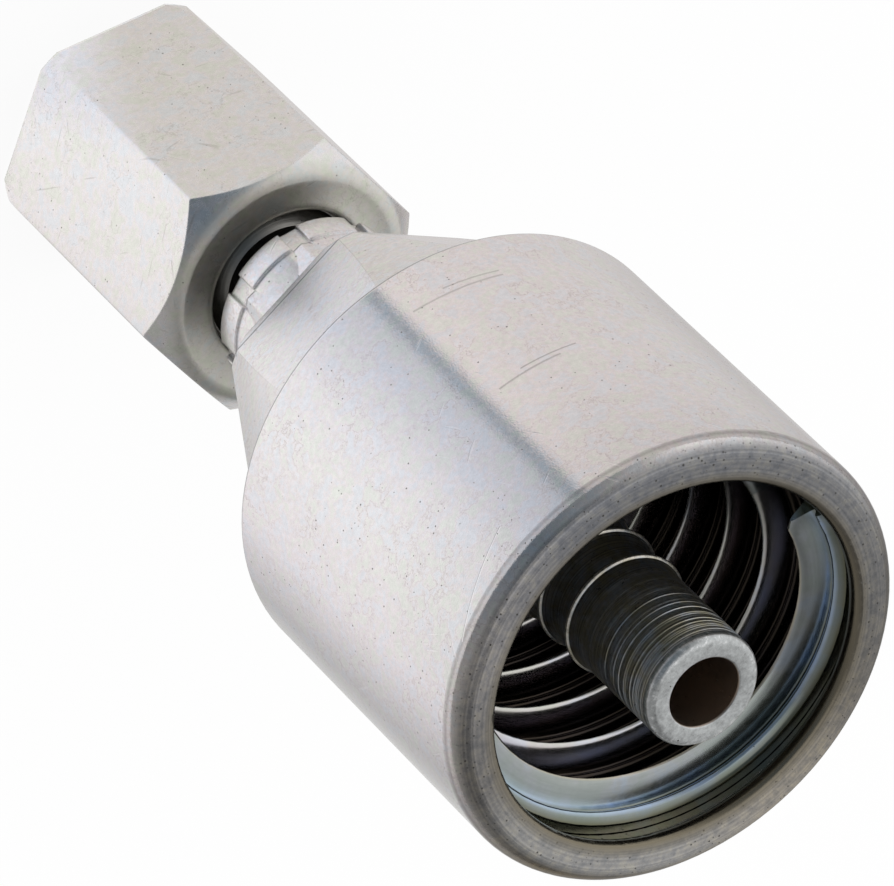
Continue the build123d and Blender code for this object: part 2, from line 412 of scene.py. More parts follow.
def makeNut(size):
    corner = size["acrossFlats"] / math.sqrt(3)
    length, land = size["length"], size["rearLand"]
    taperLength, taperDepth = size["frontTaper"]
    dishOuter, dishInner, dishDepth = size["dish"]
    nut = makeHexagon("swivelNutThreaded", corner, size)
    taper = [(corner - taperDepth * (1 - t) ** 2, taperLength * t) for t in size["taperAt"]]
    dish = [(dishOuter + (dishInner - dishOuter) * t, length - dishDepth * 4 * t * (1 - t))
            for t in size["dishAt"]]
    landEdge = (land, length)
    outside = turnOnLathe("nutOutside", [
        (0, 0), *taper, (corner, length - (corner - land)), landEdge, *dish, (0, length)], size["steps"],
        rounds=[([landEdge], *size["landRound"])])
    cutWith(nut, outside, "INTERSECT")

    major, minor, relief, bore = size["threadMajor"], size["threadMinor"], size["relief"], size["bore"]
    mouth, mouthDepth, mouthRound = size["mouth"]
    midRound = mouthRound * size["mouthMiddle"]
    beyond = size["beyond"]   # the drill starts and ends clear of the bar
    drill = turnOnLathe("nutBore", [
        (0, -beyond), (major + beyond, -beyond), (minor, major - minor), (minor, size["reliefStart"]),
        (relief, size["reliefStart"] + relief - minor), (relief, size["shoulder"]), (bore, size["shoulder"]),
        (bore, length - mouthDepth), (mouth, length - mouthDepth), (mouth, length - mouthRound),
        (mouth + midRound, length - midRound), (mouth + mouthRound, length),
        (mouth + mouthRound, length + beyond), (0, length + beyond)], size["steps"])
    cutWith(nut, drill, "DIFFERENCE")

    # The thread is a V groove wound up the bore, with a small flat at its root.
    pitch, inside = size["threadPitch"], minor - size["threadOverlap"]
    rootHalf = pitch / 16
    mouthHalf = rootHalf + (major - inside) * math.tan(math.radians(size["threadAngle"] / 2))
    turns = (size["reliefStart"] + pitch) / pitch
    groove = drawProfile("threadGroove", [
        (inside, -mouthHalf - pitch / 2), (major, -rootHalf - pitch / 2),
        (major, rootHalf - pitch / 2), (inside, mouthHalf - pitch / 2)], closed=True)
    windUp(groove, turns, turns * pitch, size["threadSteps"])
    cutWith(nut, groove, "DIFFERENCE")
    shadeByAngle(nut, size["smoothAngle"])
    return nut


nut = makeNut(nutSize)
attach(nut, "nut")
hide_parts("swivel_nut")
print("nut made,", len(nut.data.polygons), "faces")


# Finish of the nut: free-cutting hexagon bar, zinc plated and rolled about in a barrel.
# To the eye it is a pale satin metal with faint clouds, tiny specks, short scratches and bright corners,
# which are worn and also carry a painted highlight.
nutLook = {
    "cool": "#eff1f4", "warm": "#f6f0f0", "green": "#eff0e8", "cloudSize": 1.1, "mottleSize": 0.35,
    "mottle": 0.13, "driftSize": 3.5, "speckSpacing": 0.32, "speckBar": (0.98, 0.4), "speckRadius": 0.055,
    "speckColour": "#8c8982", "speckPit": -2.0, "scratchPit": -1.0,   # pits as parts of the grain's depth
    "veinSize": 0.9, "veinWidth": 0.02, "veinDrift": 2.6, "veinShare": 0.4, "veinColour": "#b5b0aa",
    "scratchTurns": [(0, 40, 70), (35, 75, -20), (60, -30, 5)], "scratchWidth": 0.18, "scratchLength": 2.2,
    "scratchBar": 0.8, "scratchColour": "#b1ada6", "scratchShare": 0.35, "wornAndHighlitEdgeColour": "#ffffff",
    "wornAndHighlitEdgeShare": 0.5, "grainSize": 0.1, "grainDepth": 0.004, "roughness": (0.2, 0.3), "edgeRound": 0.14,
    "faceHeights": (17.2, 17.7), "faceColour": "#e8eadf", "faceShare": 0.7, "faceRoughness": 0.42,
    "boreRadii": (4.75, 4.65), "boreShadeColour": "#4a4843",
}


def nutFinish(look):
    material, tree = newMaterial("zincPlatedHexBar")
    place, reach, height, around = measurePlace(tree)
    colour, mottle, roughness = mottledMetal(tree, place, look)
    colour, scratches = barrelWear(tree, place, look, colour)
    specks = drawSpecks(tree, place, look)
    colour = layOver(tree, colour, [(specks, look["speckColour"])])
    # The turned rear face is tinted darker and yellower, and the bore is painted dark: painted shade in the
    # recess.
    face = addNode(tree, "MapRange", inputs={
        "Value": height, **span("From", look["faceHeights"], mm), "To Max": look["faceShare"]})
    colour = layOver(tree, colour, [(face, look["faceColour"])], timesColour)
    bore = addNode(tree, "MapRange", inputs={"Value": reach, **span("From", look["boreRadii"], mm)})
    soft, edges = drawEdges(tree, look["edgeRound"] * mm)
    # The edges are painted white: edge wear and a painted highlight.
    wornAndHighlit = addNode(tree, "Math", times, {0: edges, 1: look["wornAndHighlitEdgeShare"]})
    colour = layOver(tree, colour, [(bore, look["boreShadeColour"]), (wornAndHighlit, look["wornAndHighlitEdgeColour"])])
    relief = drawGrain(tree, place, look)
    for mask, name in ((specks, "speckPit"), (scratches, "scratchPit")):
        relief = addNode(tree, "Math", timesPlus, {0: mask, 1: look[name], 2: relief})
    roughness = addNode(tree, "Mix", inputs={0: face, 2: roughness, 3: look["faceRoughness"]})
    metalSurface(tree, colour, roughness, relief, look["grainDepth"], soft)
    return material


finishWith(nutFinish(nutLook), nut)
print("nut finished")


# Coil insert: a rolled strip with two rounded ribs, wound right-handed against the shell's bore.
coilSize = {
    "top": 57.0, "outside": 11.25, "width": 3.0,
    # The strip's inner side: its upper edge as radius and depth, then crests and valleys with their points
    "edge": (10.85, 0.08),
    "waves": [(10.28, 0.56, 8), (10.6, 1.02, 6), (8.93, 1.62, 12), (10.85, 2.45, 10)],
    "lead": 3.6, "turns": 4.45, "endAngle": 167.5, "stepsPerTurn": 72, "smoothAngle": 50,
    "endLength": 0.4, "endShare": 0.8, "endInset": 0.6,   # the end shrinks about a point this far inside it
}


def makeCoil(size):
    top, outside = size["top"], size["outside"]
    bottom = top - size["width"]
    face, depth = size["edge"]
    inner = [(face, top), (face, top - depth)]
    for crest, crestDepth, steps in size["waves"]:
        for i in range(1, steps + 1):
            ease = (1 - math.cos(math.pi * i / steps)) / 2
            inner.append((face + (crest - face) * ease, top - depth - (crestDepth - depth) * i / steps))
        face, depth = crest, crestDepth
    coil = drawProfile("coilInsertRolled", [
        (outside, top), *inner, (face, bottom), (outside, bottom)], closed=True)
    windUp(coil, -size["turns"], -size["lead"] * size["turns"], size["stepsPerTurn"])
    # The shears left the strip's end a little drawn in.
    makeActive(coil)
    selectPoints(coil, lambda vertex: abs(vertex.co.y) < sameVertex and vertex.co.x > 0
                 and vertex.co.z > bottom * mm - samePlace)
    bpy.ops.mesh.extrude_region_move(TRANSFORM_OT_translate={"value": (0, size["endLength"] * mm, 0)})
    middle = Vector((outside - size["endInset"], 0, (top + bottom) / 2)) * mm
    bpy.ops.transform.resize(value=(size["endShare"], 1, size["endShare"]), center_override=middle)
    turnRound(size["endAngle"])
    shadeByAngle(coil, size["smoothAngle"])
    return coil


coil = makeCoil(coilSize)
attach(coil, "coupling")
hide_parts("coil_insert")
print("coil made,", len(coil.data.polygons), "faces")

# Finish of the strip: spring steel rolled bright between polished rolls, and oiled.
# To the eye it is a smooth dark mirror, streaked along the strip, brightest on the ribs' crests, where a
# highlight is painted, and painted darker in shade on the flanks and the deeper turns.
coilLook = {
    "cool": "#e8ecf2", "warm": "#eae8e4", "green": "#e4e5db", "cloudSize": 3.5, "mottleSize": 0.5,
    "mottle": 0.08, "driftSize": 3.0, "speckSpacing": 0.7, "speckBar": (0.95, 0.75), "speckRadius": 0.05,
    "speckColour": "#4b463f",
    # Painted light and shade across the strip by radius, bright on the crests and dark on the flanks: of the
    # first turn, which is lit more, and of those deeper in, which lie in shade
    "radii": (8.9, 10.9), "firstTurnFrom": 53.7,
    "firstTurn": [(8.92, "#e6dccd"), (9.05, "#c4cacf"), (9.9, "#bac3ca"), (10.2, "#c2d2e2"),
                  (10.34, "#cde1fb"), (10.5, "#a6b0b1"), (10.8, "#858676")],
    "deeper": [(8.93, "#ffffff"), (9.15, "#f3eff2"), (9.45, "#dcd4dd"), (9.95, "#aca3ac"),
               (10.3, "#4b443f")],
    "streakWidth": 0.16, "streak": 0.08, "roughness": (0.13, 0.19), "grainSize": 0.25, "grainDepth": 0.0004,
}


def stripFinish(look, size):
    material, tree = newMaterial("brightRolledSpringSteel")
    place, reach, height, around = measurePlace(tree)
    colour, mottle, roughness = mottledMetal(tree, place, look)
    specks = drawSpecks(tree, place, look)
    colour = layOver(tree, colour, [(specks, look["speckColour"])])
    streaks = drawRings(tree, reach, height, look["streakWidth"])
    shade = addNode(tree, "MapRange", inputs={
        "Value": streaks, **span("From", noiseSpan), "To Min": 1 - look["streak"]})
    # Unwound, the turns lie one above the other at their own heights.
    turned = addNode(tree, "Mapping", inputs={
        "Vector": place, "Rotation": (0, 0, math.radians(180 - size["endAngle"]))})
    fromEnd = addNode(tree, "TexGradient", {"gradient_type": "RADIAL"}, {"Vector": turned})
    climbed = addNode(tree, "MapRange", inputs={
        "Value": fromEnd.outputs["Fac"], "To Min": size["lead"] * mm, "To Max": 0.0})
    unwound = addNode(tree, "Math", {"operation": "ADD"}, {0: height, 1: climbed})
    first = addNode(tree, "Math", above, {0: unwound, 1: look["firstTurnFrom"] * mm})
    innermost, outermost = look["radii"]
    across = addNode(tree, "MapRange", inputs={
        "Value": reach, "From Min": innermost * mm, "From Max": outermost * mm})
    shades = []
    for name in ("deeper", "firstTurn"):
        stops = [((radius - innermost) / (outermost - innermost), shade) for radius, shade in look[name]]
        shades.append(addNode(tree, "ValToRGB", inputs={"Fac": across}, stops=stops))
    # Painted light and shade by turn: the first turn lighter, the deeper turns darker, with painted
    # highlights on the crests.
    turnLightAndShade = layOver(tree, shades[0], [(first, shades[1])])
    colour = layOver(tree, colour, [(1.0, shade), (1.0, turnLightAndShade)], timesColour)
    metalSurface(tree, colour, roughness, drawGrain(tree, place, look, detail=1.0), look["grainDepth"])
    return material


finishWith(stripFinish(coilLook, coilSize), coil)
print("coil finished")


# Stem: one turned piece from the cone seat inside the nut to the tail inside the hose.
stemSize = {
    "bore": 2.0, "boreEdge": (0.14, 3), "seatMouth": 4.2, "seatHalfAngle": 37.0, "steps": 96,
    "smoothAngle": 32, "head": (4.85, 8.5, 13.7), "land": (4.2, 16.4), "relief": (3.4, 23.0),
    "collarSeat": (4.0, 31.45),
    "tailRoot": 3.05, "tail": 3.25, "tip": 60.7, "tipRound": (0.45, 6),   # roundings as width and segments
    "barb": 3.5, "barbCount": 7, "barbPitch": 2.7, "lastBarb": 52.75, "barbRise": 0.12, "barbRamp": 0.75,
    "barbLand": 0.14, "barbEdge": (0.13, 0.06), "barbRound": (0.04, 3),   # the upper edge's width and rise
    # Tool marks: their run and width, their pitch and depth at the tip, the shares of these at the run's
    # other end, and how each sways: by what share, how fast from mark to mark and from where
    "toolMarks": (53.9, 60.0), "toolWidth": 0.08,
    "toolPitch": 0.13, "firstPitch": 3, "pitchSway": (0.3, 2.1, 0),
    "toolDepth": 0.035, "firstDepth": 0.2, "depthSway": (0.6, 3.7, 1),
}


def unevenly(atTip, first, sway, run, mark):
    share, speed, start = sway
    return atTip * (first + (1 - first) * run) * (1 + share * math.sin(speed * mark + start))


def makeStem(size):
    headRadius, headFront, headBack = size["head"]
    landRadius, landBack = size["land"]
    reliefRadius, reliefBack = size["relief"]
    seatRadius, seatEnd = size["collarSeat"]
    bore, tip, tail, root, barbRadius = [size[name] for name in ("bore", "tip", "tail", "tailRoot", "barb")]
    headEdge = headRadius - size["seatMouth"]
    seatDepth = (size["seatMouth"] - bore) / math.tan(math.radians(size["seatHalfAngle"]))
    outline = [
        (bore, headFront + seatDepth), (size["seatMouth"], headFront), (headRadius - headEdge / 2, headFront),
        (headRadius, headFront + headEdge / 2), (headRadius, headBack), (landRadius, headBack),
        (landRadius, landBack), (reliefRadius, landBack + landRadius - reliefRadius),
        (reliefRadius, reliefBack), (seatRadius, reliefBack + seatRadius - reliefRadius),
        (seatRadius, seatEnd), (root, seatEnd)]
    edgeWidth, edgeRise = size["barbEdge"]
    crests = []
    for barb in reversed(range(size["barbCount"])):
        crest = size["lastBarb"] - barb * size["barbPitch"]
        upper = crest + size["barbLand"]
        land = [(barbRadius, crest), (barbRadius, upper)]
        crests += land
        outline += [(root, crest - size["barbRise"]), *land, (barbRadius - edgeWidth, upper + edgeRise),
                    (root if barb else tail, crest + size["barbRamp"])]
    # The tool left its marks unevenly, deeper and closer together towards the tip.
    firstMark, lastMark = size["toolMarks"]
    width = size["toolWidth"]
    place, mark = firstMark, 0
    while place < lastMark:
        run = (place - firstMark) / (lastMark - firstMark)
        depth = unevenly(size["toolDepth"], size["firstDepth"], size["depthSway"], run, mark)
        outline += [(tail, place), (tail - depth, place + width / 2), (tail, place + width)]
        place += unevenly(size["toolPitch"], size["firstPitch"], size["pitchSway"], run, mark)
        mark += 1
    tipEdge, boreEdge = (tail, tip), (bore, tip)
    outline += [tipEdge, boreEdge]
    stem = turnOnLathe("stemTurned", outline, size["steps"], closed=True, rounds=[
        (crests, *size["barbRound"]), ([tipEdge], *size["tipRound"]), ([boreEdge], *size["boreEdge"])])
    shadeByAngle(stem, size["smoothAngle"])
    return stem


stem = makeStem(stemSize)
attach(stem, "coupling")
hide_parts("stem")
print("stem made,", len(stem.data.polygons), "faces")

# Finish of the stem: free-cutting steel, turned and left oily. To the eye it is dark and bluish on the tail,
# browner further in, cut by fine bright rings, and light and speckled on its faced tip. Shade is painted on
# the neck and in the bore, and highlights on the barbs' crests and the tip's edge.
stemLook = {
    "cool": "#c5ccd2", "warm": "#c4c3be", "green": "#bdb8a2", "cloudSize": 1.6, "mottleSize": 0.35,
    "mottle": 0.3, "driftSize": 2.0, "speckSpacing": 0.45, "speckBar": (0.9, 0.6), "speckRadius": 0.06,
    "speckColour": "#35322c", "ringWidth": 0.1, "ringShade": (0.5, 1.25), "ringDepth": 0.01,
    "roughness": (0.26, 0.38), "tipHeights": (59.95, 60.3), "tipColour": "#dee1e1",
    "tipMottle": (0.35, 0.65), "tipShade": (0.6, 1.0), "rubbedAndHighlitRadii": (3.36, 3.44),
    "rubbedAndHighlitPatches": (0.38, 0.58), "rubbedAndHighlitShare": (0.1, 1.0), "rubbedAndHighlitColour": "#efe9dc",
    "boreRadius": 2.05, "boreShadeColour": "#bdb0a4", "neckTo": 20.0, "neckShadeColour": "#a3a19c",
    "scuffAndHighlightPatches": (0.55, 0.66), "scuffAndHighlightRadii": (2.75, 3.0), "scuffAndHighlightColour": "#ffffff",
}


def stemFinish(look):
    material, tree = newMaterial("oiledTurnedSteel")
    place, reach, height, around = measurePlace(tree)
    colour, mottle, roughness = mottledMetal(tree, place, look)
    ringPlace = addNode(tree, "CombineXYZ", inputs={"Z": height})
    rings = addNode(tree, "TexNoise", inputs={
        "Vector": ringPlace, "Scale": 1 / (look["ringWidth"] * mm), "Detail": 2.0, "Roughness": 0.7})
    ringShade = addNode(tree, "MapRange", inputs={
        "Value": rings, **span("From", noiseSpan), **span("To", look["ringShade"])})
    colour = layOver(tree, colour, [(1.0, ringShade)], timesColour)
    tip = addNode(tree, "MapRange", inputs={"Value": height, **span("From", look["tipHeights"], mm)})
    tipShade = addNode(tree, "MapRange", inputs={
        "Value": mottle, **span("From", look["tipMottle"]), **span("To", look["tipShade"])})
    tipColour = layOver(tree, look["tipColour"], [(1.0, tipShade)], timesColour)
    colour = layOver(tree, colour, [(tip, tipColour)])
    # Painted highlights, partly rub wear: the barbs' crests and spots on the tip's rounded edge are painted
    # bright.
    rubbedAndHighlit = addNode(tree, "MapRange", inputs={"Value": reach, **span("From", look["rubbedAndHighlitRadii"], mm)})
    patches = addNode(tree, "MapRange", inputs={
        "Value": mottle, **span("From", look["rubbedAndHighlitPatches"]), **span("To", look["rubbedAndHighlitShare"])})
    rubbedAndHighlit = addNode(tree, "Math", times, {0: rubbedAndHighlit, 1: patches})
    scuffsAndHighlights = addNode(tree, "MapRange", inputs={"Value": mottle, **span("From", look["scuffAndHighlightPatches"])})
    outer = addNode(tree, "MapRange", inputs={"Value": reach, **span("From", look["scuffAndHighlightRadii"], mm)})
    for mask in (outer, tip):
        scuffsAndHighlights = addNode(tree, "Math", times, {0: scuffsAndHighlights, 1: mask})
    # The bore and the neck inside the nut are painted darker: painted shade.
    bore = addNode(tree, "Math", below, {0: reach, 1: look["boreRadius"] * mm})
    neck = addNode(tree, "Math", below, {0: height, 1: look["neckTo"] * mm})
    specks = drawSpecks(tree, place, look)
    colour = layOver(tree, colour, [
        (rubbedAndHighlit, look["rubbedAndHighlitColour"]), (bore, look["boreShadeColour"]), (neck, look["neckShadeColour"]),
        (scuffsAndHighlights, look["scuffAndHighlightColour"]), (specks, look["speckColour"])])
    metalSurface(tree, colour, roughness, rings, look["ringDepth"])
    return material


finishWith(stemFinish(stemLook), stem)
print("stem finished")


# Finish of the ferrule: mild steel, turned, pressed and zinc plated, then rolled about in a barrel.
# To the eye it is a pale satin metal with faint pink and green clouds and tiny dark specks. Its rolled mouth
# has lost that brightness: it is dark grey and grainy with turning rings, and brownish inside, where shade is
# painted too. Its outer rounding has a brown stain that also carries painted shade.
ferruleLook = {
    "cool": "#eff1f5", "warm": "#f6eff0", "green": "#f0f2ec", "cloudSize": 0.9, "mottleSize": 0.3,
    "mottle": 0.17, "driftSize": 4.0, "speckSpacing": 0.32, "speckBar": (0.97, 0.3), "speckRadius": 0.058,
    "speckColour": "#82807c", "roughness": (0.1, 0.17), "grainSize": 0.1, "grainDepth": 0.004,
    "veinSize": 0.9, "veinWidth": 0.02, "veinDrift": 2.6, "veinShare": 0.45, "veinColour": "#aca8a4",
    "scratchTurns": [(20, 35, 50), (65, -25, 10)], "scratchWidth": 0.2, "scratchLength": 2.6,
    "scratchBar": 0.8, "scratchColour": "#ffffff", "scratchShare": 0.25,
    # Scores as start and end height, start and end azimuth, and width
    "scores": [(39.7, 39.35, -131, -108, 0.1), (39.28, 38.96, -131, -117, 0.08),
               (47.45, 47.75, -126, -109, 0.1), (47.03, 47.23, -131, -116, 0.07)],
    "rubs": [(55.1, 57.1, -87.5, -62, 0.05)], "scoredFrom": 12.0, "scoreShare": 0.7,
    "scoreColour": "#b6b4b2", "rubColour": "#ffffff",
    "scorePit": -1.8, "speckPit": -2.0, "scratchPit": -1.0, "ringPit": 1.5,   # as parts of the grain's depth
    "shoulderEnd": 35.9, "shoulderRoughness": 0.26,
    "edgeRound": 0.09, "collarRound": 0.18, "collarEnd": 25.9, "roundsMeetOver": 0.5, "edgesStartOver": 0.2,
    "edgeColour": "#a9a9a6", "edgeFullAt": 0.98, "edgeShare": 0.6,
    # The rim, which starts lower or higher with the azimuth, its wear and the stain and painted shade on its
    # outer rounding
    "rimHeights": (57.1, 57.95), "rimMottleSize": 0.6, "rimRoughness": 0.26,
    "rimColours": [(0.36, "#b0b2b7"), (0.5, "#c6c6c8"), (0.64, "#d6d4cf")],
    "rimRingWidth": 0.14, "rimRingShade": (0.72, 1.1),
    "rimStarts": [(-180, 0.35), (-130, 0.5), (-110, 0.75), (-65, 0.75), (-45, 0.45), (0, 0.2), (140, 0.2),
                  (180, 0.35)],
    "rimWear": [(-180, "#c0c0c0"), (-100, "#bcbdc0"), (-60, "#e2dedb"), (-38, "#c4c1bd"), (-20, "#c8c4be"),
                (0, "#faf8f2"), (50, "#fffdf8"), (80, "#f6eddd"), (115, "#bab4a9"), (140, "#b3b1ad"),
                (180, "#c0c0c0")],
    "stainAndShadeRadii": (12.15, 12.5), "stainAndShadeHeights": (56.9, 57.5),
    "stainsAndShade": [(-180, "#ffffff"), (-10, "#f6f3ee"), (12, "#bfb199"), (40, "#8a7f6c"), (62, "#aea18d"),
               (90, "#dbd0bd"), (118, "#b1aa9c"), (145, "#a49f97"), (172, "#ffffff")],
    "rimSpecks": {"driftSize": 1.2, "speckSpacing": 0.25, "speckBar": (0.65, 0.05), "speckRadius": 0.072},
    "rimSpeckColour": "#4c4a47",
    # Painted shadow lines where one form drops behind the next:
    "paintedShadowLines": [(36.02, 36.22, 12.4), (26.42, 26.56, 7.5)],   # heights and least radius
    "paintedShadowColour": "#9c9d9f", "insideRadii": (11.35, 10.65), "insideFrom": 36.5, "insideTintAndShade": "#8b8372",
}


def rimFinish(tree, look, place, reach, height, around):
    # The rim's colour and rings, and the mask where it lies over the plating.
    mottle = addNode(tree, "TexNoise", inputs={
        "Vector": place, "Scale": 1 / (look["rimMottleSize"] * mm), "Detail": 4.0, "Roughness": 0.7})
    colour = addNode(tree, "ValToRGB", inputs={"Fac": mottle}, stops=look["rimColours"])
    rings = drawRings(tree, reach, height, look["rimRingWidth"])
    ringShade = addNode(tree, "MapRange", inputs={
        "Value": rings, **span("From", noiseSpan), **span("To", look["rimRingShade"])})
    wear = addNode(tree, "ValToRGB", inputs={"Fac": around}, stops=byAzimuth(look["rimWear"]))
    colour = layOver(tree, colour, [(1.0, ringShade), (1.0, wear)], timesColour)
    start = addNode(tree, "ValToRGB", inputs={"Fac": around}, stops=byAzimuth(look["rimStarts"]))
    start = addNode(tree, "MapRange", inputs={"Value": start, **span("To", look["rimHeights"], mm)})
    rim = addNode(tree, "MapRange", inputs={
        "Value": height, "From Min": start, "From Max": look["rimHeights"][1] * mm})
    return colour, rings, ringShade, rim


def stainedAndShadedRounding(tree, look, colour, reach, height, around):
    # The brown stain on the outside of the rim, also painted shade, which comes and goes round it.
    stainAndShade = addNode(tree, "ValToRGB", inputs={"Fac": around}, stops=byAzimuth(look["stainsAndShade"]))
    outside = addNode(tree, "MapRange", inputs={"Value": reach, **span("From", look["stainAndShadeRadii"], mm)})
    high = addNode(tree, "MapRange", inputs={"Value": height, **span("From", look["stainAndShadeHeights"], mm)})
    stainedAndShaded = addNode(tree, "Math", times, {0: outside, 1: high})
    return layOver(tree, colour, [(stainedAndShaded, stainAndShade)], timesColour)


def insideOfShell(tree, look, reach, height):
    inner = addNode(tree, "MapRange", inputs={"Value": reach, **span("From", look["insideRadii"], mm)})
    high = addNode(tree, "Math", above, {0: height, 1: look["insideFrom"] * mm})
    return addNode(tree, "Math", times, {0: inner, 1: high})


def ferruleEdges(tree, look, height):
    # Edges are rounder on the staked collar, and grey only above it.
    collarEnd = look["collarEnd"]
    radius = addNode(tree, "MapRange", inputs={
        "Value": height, "From Min": (collarEnd - look["roundsMeetOver"]) * mm, "From Max": collarEnd * mm,
        "To Min": look["collarRound"] * mm, "To Max": look["edgeRound"] * mm})
    soft, edges = drawEdges(tree, radius, fullAt=look["edgeFullAt"])
    onBody = addNode(tree, "MapRange", inputs={
        "Value": height, "From Min": (collarEnd - look["edgesStartOver"]) * mm, "From Max": collarEnd * mm,
        "To Max": look["edgeShare"]})
    return soft, addNode(tree, "Math", times, {0: edges, 1: onBody})


def drawPaintedShadowLine(tree, shadowLine, reach, height):
    # A thin painted shadow line where one form drops behind the next.
    start, end, leastRadius = shadowLine
    low = addNode(tree, "Math", within, {0: height, 1: (start + end) / 2 * mm, 2: (end - start) / 2 * mm})
    wide = addNode(tree, "Math", above, {0: reach, 1: leastRadius * mm})
    return addNode(tree, "Math", times, {0: low, 1: wide})


def ferruleFinish(look):
    material, tree = newMaterial("zincPlatedPressedSteel")
    place, reach, height, around = measurePlace(tree)
    colour, mottle, roughness = mottledMetal(tree, place, look)
    colour, scratches = barrelWear(tree, place, look, colour)
    rimColour, rings, ringShade, rim = rimFinish(tree, look, place, reach, height, around)
    colour = layOver(tree, colour, [(rim, rimColour)])
    colour = stainedAndShadedRounding(tree, look, colour, reach, height, around)
    rimSpecks = drawSpecks(tree, place, look["rimSpecks"])
    rimSpecks = addNode(tree, "Math", times, {0: rimSpecks, 1: rim})
    # The inside of the shell is tinted brown and painted darker: painted shade.
    inside = insideOfShell(tree, look, reach, height)
    insideTintAndShade = layOver(tree, look["insideTintAndShade"], [(1.0, ringShade)], timesColour)
    specks = drawSpecks(tree, place, look)
    soft, edges = ferruleEdges(tree, look, height)
    layers = [(rimSpecks, look["rimSpeckColour"]), (inside, insideTintAndShade), (specks, look["speckColour"]),
              (edges, look["edgeColour"])]
    layers += [(drawPaintedShadowLine(tree, shadowLine, reach, height), look["paintedShadowColour"]) for shadowLine in look["paintedShadowLines"]]
    outside = addNode(tree, "Math", above, {0: reach, 1: look["scoredFrom"] * mm})
    scored = 0.0
    for arcs, shade in ((look["scores"], look["scoreColour"]), (look["rubs"], look["rubColour"])):
        lines = drawScores(tree, height, around, arcs)
        lines = addNode(tree, "Math", times, {0: lines, 1: outside})
        share = addNode(tree, "Math", times, {0: lines, 1: look["scoreShare"]})
        layers.append((share, shade))
        scored = addNode(tree, "Math", larger, {0: lines, 1: scored})
    colour = layOver(tree, colour, layers)
    onRim = addNode(tree, "Math", times, {0: rings, 1: rim})
    relief = drawGrain(tree, place, look)
    pits = ((scored, "scorePit"), (specks, "speckPit"), (scratches, "scratchPit"), (onRim, "ringPit"))
    for mask, name in pits:
        relief = addNode(tree, "Math", timesPlus, {0: mask, 1: look[name], 2: relief})
    shoulder = addNode(tree, "Math", below, {0: height, 1: look["shoulderEnd"] * mm})
    for mask, name in ((rim, "rimRoughness"), (shoulder, "shoulderRoughness")):
        roughness = addNode(tree, "Mix", inputs={0: mask, 2: roughness, 3: look[name]})
    metalSurface(tree, colour, roughness, relief, look["grainDepth"], soft)
    return material


# Staked lugs: the collar was pressed into the stem's neck and eight rounded pads stayed proud of it.
# They lie over the ferrule's own plain ones and run out on the flats behind them.
lugSize = {
    "count": 8, "phase": -93.0, "spread": 33.0, "stepsPerLug": 8, "foot": 4.6,
    "front": 19.63, "frontRound": 0.16, "radius": 5.27, "slopeFrom": 21.32, "slopeMiddle": (5.14, 21.42),
    "slopeEnd": (4.92, 23.3), "footBehind": 0.2, "edgeRound": 0.1, "sharpAngle": 40, "smoothAngle": 60,
}


def makeLug(size, number):
    edge, radius, front, foot = size["frontRound"], size["radius"], size["front"], size["foot"]
    lug = drawProfile("stakedLug", [
        (foot, front), (radius - edge, front), (radius, front + edge), (radius, size["slopeFrom"]),
        size["slopeMiddle"], size["slopeEnd"], (foot, size["slopeEnd"][1] + size["footBehind"])], closed=True)
    setMode("EDIT")
    turnProfile(size["stepsPerLug"], size["spread"])
    capAndFaceOut()
    turnRound(size["phase"] + size["spread"] / 2 + number * 360 / size["count"])
    bevel = lug.modifiers.new("softEdges", "BEVEL")
    bevel.width = size["edgeRound"] * mm
    bevel.segments = 3
    bevel.limit_method = "ANGLE"
    bevel.angle_limit = math.radians(size["sharpAngle"])
    bpy.ops.object.modifier_apply(modifier=bevel.name)
    return lug


def makeLugs(size):
    lugs = [makeLug(size, number) for number in range(size["count"])]
    startClean()
    for lug in lugs:
        lug.select_set(True)
    bpy.context.view_layer.objects.active = lugs[0]
    bpy.ops.object.join()
    lugs[0].name = "stakedLugs"
    shadeByAngle(lugs[0], size["smoothAngle"])
    return lugs[0]


stakedLugs = makeLugs(lugSize)
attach(stakedLugs, "coupling")
finishWith(ferruleFinish(ferruleLook), nodes["ferrule"], stakedLugs)
print("ferrule finished")


def directionTo(azimuth, elevation):
    azimuth, elevation = math.radians(azimuth), math.radians(elevation)
    level = math.cos(elevation)
    return Vector((level * math.cos(azimuth), level * math.sin(azimuth), math.sin(elevation)))


# Camera, where it stood for the photograph. Its roll lays the upright coupling along the picture's diagonal.
cameraSettings = {
    "target": (0.083, -0.004, 34.812), "distance": 502.69,
    "azimuth": -92.633, "elevation": 46.058, "roll": 134.341,
    "lens": 389.65, "sensor": 36.0,   # the lens is in millimetres on a sensor as wide as the picture
    "clipStart": 10, "clipEnd": 20000,
}


def placeCamera(settings):
    back = directionTo(settings["azimuth"], settings["elevation"])
    bpy.ops.object.camera_add(location=(Vector(settings["target"]) + back * settings["distance"]) * mm)
    camera = bpy.context.object
    camera.name = "photoCamera"
    level = (-back).to_track_quat("-Z", "Y")
    camera.rotation_euler = (level @ Quaternion((0, 0, 1), math.radians(settings["roll"]))).to_euler()
    camera.data.sensor_width = settings["sensor"]
    camera.data.lens = settings["lens"]
    camera.data.clip_start = settings["clipStart"] * mm
    camera.data.clip_end = settings["clipEnd"] * mm
    bpy.context.scene.camera = camera


startClean()
placeCamera(cameraSettings)
print("camera placed")


